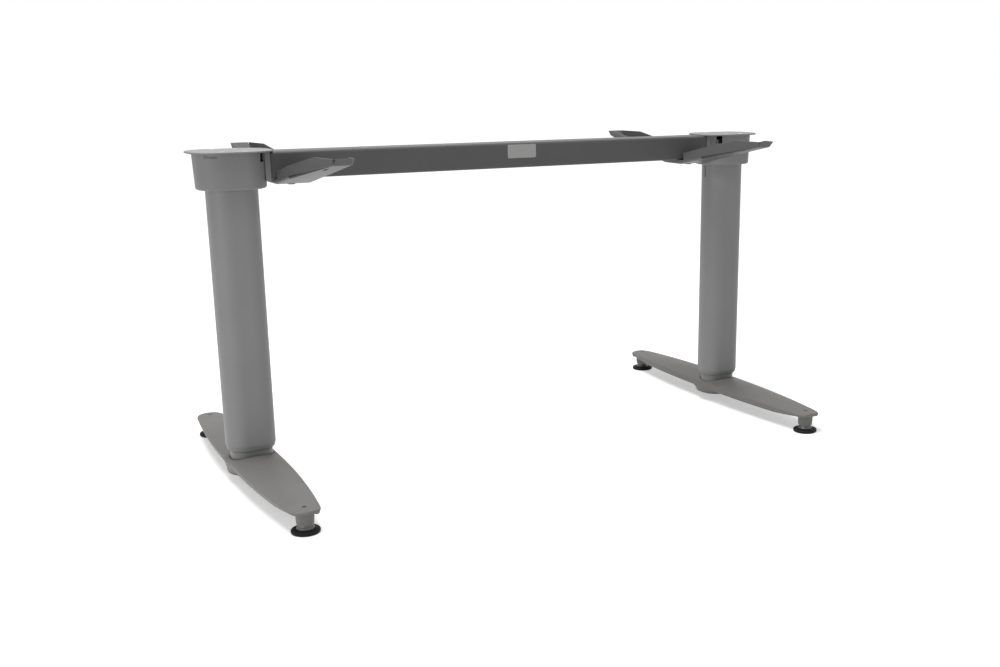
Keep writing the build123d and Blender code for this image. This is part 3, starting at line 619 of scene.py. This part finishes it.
def oval_ring(build, middle_x, half_width, half_length, fullness, height):
    """The corners of one level oval: an ellipse at a fullness of 2, and squarer above it."""
    ring = []
    for turn in range(FAIRING_TURNS):
        angle = 2 * math.pi * turn / FAIRING_TURNS
        reach = (abs(math.cos(angle)) ** fullness + abs(math.sin(angle)) ** fullness) ** (-1 / fullness)
        x = middle_x + half_width * reach * math.cos(angle)
        ring.append(build.verts.new((x, half_length * reach * math.sin(angle), height)))
    return ring


def make_low_bolts(side):
    """The arm's bolts with lower heads."""
    node = f"{side}_arm_bolts"
    build = copy_shape(node)
    lowest = min(vertex.co.z for vertex in build.verts)
    heads = [vertex for vertex in build.verts if vertex.co.z < lowest + BOLT_HEAD_CUT / 2]
    bmesh.ops.translate(build, verts=heads, vec=(0, 0, BOLT_HEAD_CUT))
    bolts = place_shape(build, f"{side}_low_bolts", "upper_frame", "beam_paint")
    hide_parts(node)


def make_deep_leaves(side):
    """An arm whose leaves reach lower at their tips, so that only a thin slit is left above its floor."""
    node = f"{side}_arm"
    build = copy_shape(node)
    _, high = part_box(node)
    tip_level = high[2] - LEAF_TIP_HEIGHT
    tip_from = high[1] - LEAF_TIP_FROM_END
    tips = []
    for vertex in build.verts:
        if abs(vertex.co.z - tip_level) < LEAF_TIP_WITHIN and abs(vertex.co.y) > tip_from:
            tips.append(vertex)
    bmesh.ops.translate(build, verts=tips, vec=(0, 0, -LEAF_DROP))
    arm = place_shape(build, f"{side}_deep_leaf_arm", "upper_frame", "beam_paint")
    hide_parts(node)


def make_stud_thread(glide):
    """A raised helix round a glide's stud, closed at both ends."""
    low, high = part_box(glide)
    middle_x = between(low[0], high[0], 0.5)
    middle_y = between(low[1], high[1], 0.5)
    steps = int((high[2] - THREAD_END_GAP - THREAD_FROM) / THREAD_PITCH * THREAD_STEPS)
    ridge = ((THREAD_CORE, -THREAD_FLANK), (THREAD_CREST, 0), (THREAD_CORE, THREAD_FLANK))
    build = bmesh.new()
    sections = []
    for step in range(steps + 1):
        angle = 2 * math.pi * step / THREAD_STEPS
        height = THREAD_FROM + THREAD_PITCH * step / THREAD_STEPS
        section = []
        for radius, rise in ridge:
            x = middle_x + radius * math.cos(angle)
            y = middle_y + radius * math.sin(angle)
            section.append(build.verts.new((x, y, height + rise)))
        sections.append(section)
    for before, after in zip(sections, sections[1:]):
        for corner in range(len(ridge)):
            other = (corner + 1) % len(ridge)
            build.faces.new((before[corner], before[other], after[other], after[corner]))
    build.faces.new(sections[0])
    build.faces.new(sections[-1])
    bmesh.ops.recalc_face_normals(build, faces=build.faces)
    place_shape(build, f"{glide}_thread", glide, "glide_zinc")


# The sticker

def make_sticker():
    """A thin rounded sticker that lies on the beam's front face."""
    beam_low, beam_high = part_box("cross_beam")
    front = beam_low[1] - STICKER_GAP
    middle_z = between(beam_low[2], beam_high[2], 0.5) + STICKER_ABOVE_MIDDLE
    corner_x = STICKER_WIDTH / 2 - STICKER_CORNER
    corner_z = STICKER_HEIGHT / 2 - STICKER_CORNER
    mesh = bpy.data.meshes.new("beam_sticker")
    build = bmesh.new()
    outline = []
    for turn in range(4):
        x_side = 1 if turn in (0, 3) else -1
        z_side = 1 if turn in (0, 1) else -1
        for step in range(STICKER_CORNER_STEPS + 1):
            angle = math.radians(90) * (turn + step / STICKER_CORNER_STEPS)
            x = STICKER_MIDDLE_X + x_side * corner_x + STICKER_CORNER * math.cos(angle)
            z = middle_z + z_side * corner_z + STICKER_CORNER * math.sin(angle)
            outline.append(build.verts.new((x, front, z)))
    back = build.faces.new(outline)
    lifted = bmesh.ops.extrude_face_region(build, geom=[back])["geom"]
    moved = [part for part in lifted if isinstance(part, bmesh.types.BMVert)]
    bmesh.ops.translate(build, verts=moved, vec=(0, -STICKER_THICKNESS, 0))
    bmesh.ops.recalc_face_normals(build, faces=build.faces)
    build.to_mesh(mesh)
    build.free()
    sticker = bpy.data.objects.new("beam_sticker", mesh)
    bpy.context.collection.objects.link(sticker)
    edge = sticker.modifiers.new("edge", "BEVEL")
    edge.width = STICKER_EDGE_ROUND
    edge.segments = STICKER_EDGE_STEPS
    sticker.data.materials.append(sticker_film())
    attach(sticker, "upper_frame")


# Studio

def make_floor():
    """A pale floor that shows white to the camera, more so far from the frame, and keeps a soft shadow."""
    bpy.ops.mesh.primitive_plane_add(size=2 * FLOOR_HALF, location=(0, 0, 0))
    floor = bpy.context.object
    floor.name = "studio_floor"
    finish = bpy.data.materials.new("studio_floor")
    finish.use_nodes = True
    tree = finish.node_tree
    shader = tree.nodes["Principled BSDF"]
    shader.inputs["Base Color"].default_value = FLOOR_COLOUR
    shader.inputs["Roughness"].default_value = 0.9
    shader.inputs["Specular IOR Level"].default_value = 0.1
    shader.inputs["Emission Color"].default_value = (1, 1, 1, 1)
    distance = tree.nodes.new("ShaderNodeVectorMath")
    distance.operation = "LENGTH"
    tree.links.new(tree.nodes.new("ShaderNodeTexCoord").outputs["Object"], distance.inputs[0])
    away = distance.outputs["Value"]
    glow = remap(tree, away, FLOOR_GLOW_FROM, FLOOR_GLOW_TO, FLOOR_GLOW_NEAR, FLOOR_GLOW_FAR)
    seen = calculate(tree, "MULTIPLY", background_seen(tree), glow)
    tree.links.new(seen, shader.inputs["Emission Strength"])
    floor.data.materials.append(finish)


def background_seen(tree):
    """One for rays from the camera, from gloss and through glass."""
    path = tree.nodes.new("ShaderNodeLightPath").outputs
    either = calculate(tree, "MAXIMUM", path["Is Camera Ray"], path["Is Glossy Ray"])
    return calculate(tree, "MAXIMUM", either, path["Is Transmission Ray"])


def make_sky():
    """A world that is white to the camera and lights the object evenly from all sides."""
    world = bpy.data.worlds.new("studio")
    bpy.context.scene.world = world
    world.use_nodes = True
    tree = world.node_tree
    light = tree.nodes["Background"]
    light.inputs["Color"].default_value = (1, 1, 1, 1)
    light.inputs["Strength"].default_value = SKY_STRENGTH
    white = tree.nodes.new("ShaderNodeBackground")
    white.inputs["Color"].default_value = (1, 1, 1, 1)
    white.inputs["Strength"].default_value = 1.0
    choose = tree.nodes.new("ShaderNodeMixShader")
    tree.links.new(background_seen(tree), choose.inputs["Fac"])
    tree.links.new(light.outputs[0], choose.inputs[1])
    tree.links.new(white.outputs[0], choose.inputs[2])
    tree.links.new(choose.outputs[0], tree.nodes["World Output"].inputs["Surface"])


def make_softbox(name, size, place, watts):
    """A square softbox that faces the middle of the frame."""
    lamp = bpy.data.lights.new(name, "AREA")
    lamp.size = size
    lamp.energy = watts
    holder = bpy.data.objects.new(name, lamp)
    holder.location = place
    holder.rotation_euler = (Vector(BOX_AIM) - Vector(place)).to_track_quat("-Z", "Y").to_euler()
    bpy.context.collection.objects.link(holder)


def make_camera():
    """The photograph's camera, with the shift that its framing needs."""
    camera = bpy.data.cameras.new("photo_camera")
    camera.sensor_width = CAMERA_SENSOR_MM
    camera.lens = CAMERA_SENSOR_MM * CAMERA_FOCUS_PX / IMAGE_WIDTH
    camera.shift_x = 0.5 - CAMERA_AXIS_PX[0] / IMAGE_WIDTH
    camera.shift_y = (CAMERA_AXIS_PX[1] - IMAGE_HEIGHT / 2) / IMAGE_WIDTH
    holder = bpy.data.objects.new("photo_camera", camera)
    across = math.cos(CAMERA_DIP)
    look = Vector((math.sin(CAMERA_YAW) * across, math.cos(CAMERA_YAW) * across, -math.sin(CAMERA_DIP)))
    holder.location = CAMERA_PLACE
    holder.rotation_euler = look.to_track_quat("-Z", "Y").to_euler()
    bpy.context.collection.objects.link(holder)
    bpy.context.scene.camera = holder


dress_nodes()
for leg_side in ("left", "right"):
    make_thin_foot(leg_side)
    make_low_bolts(leg_side)
    make_deep_leaves(leg_side)
    make_stud_thread(f"{leg_side}_front_glide")
    make_stud_thread(f"{leg_side}_rear_glide")
make_sticker()
make_floor()
make_sky()
make_softbox("top_softbox", TOP_BOX_SIZE, TOP_BOX_PLACE, TOP_BOX_WATTS)
make_softbox("side_softbox", SIDE_BOX_SIZE, SIDE_BOX_PLACE, SIDE_BOX_WATTS)
make_camera()
bpy.context.scene.view_settings.view_transform = "Standard"
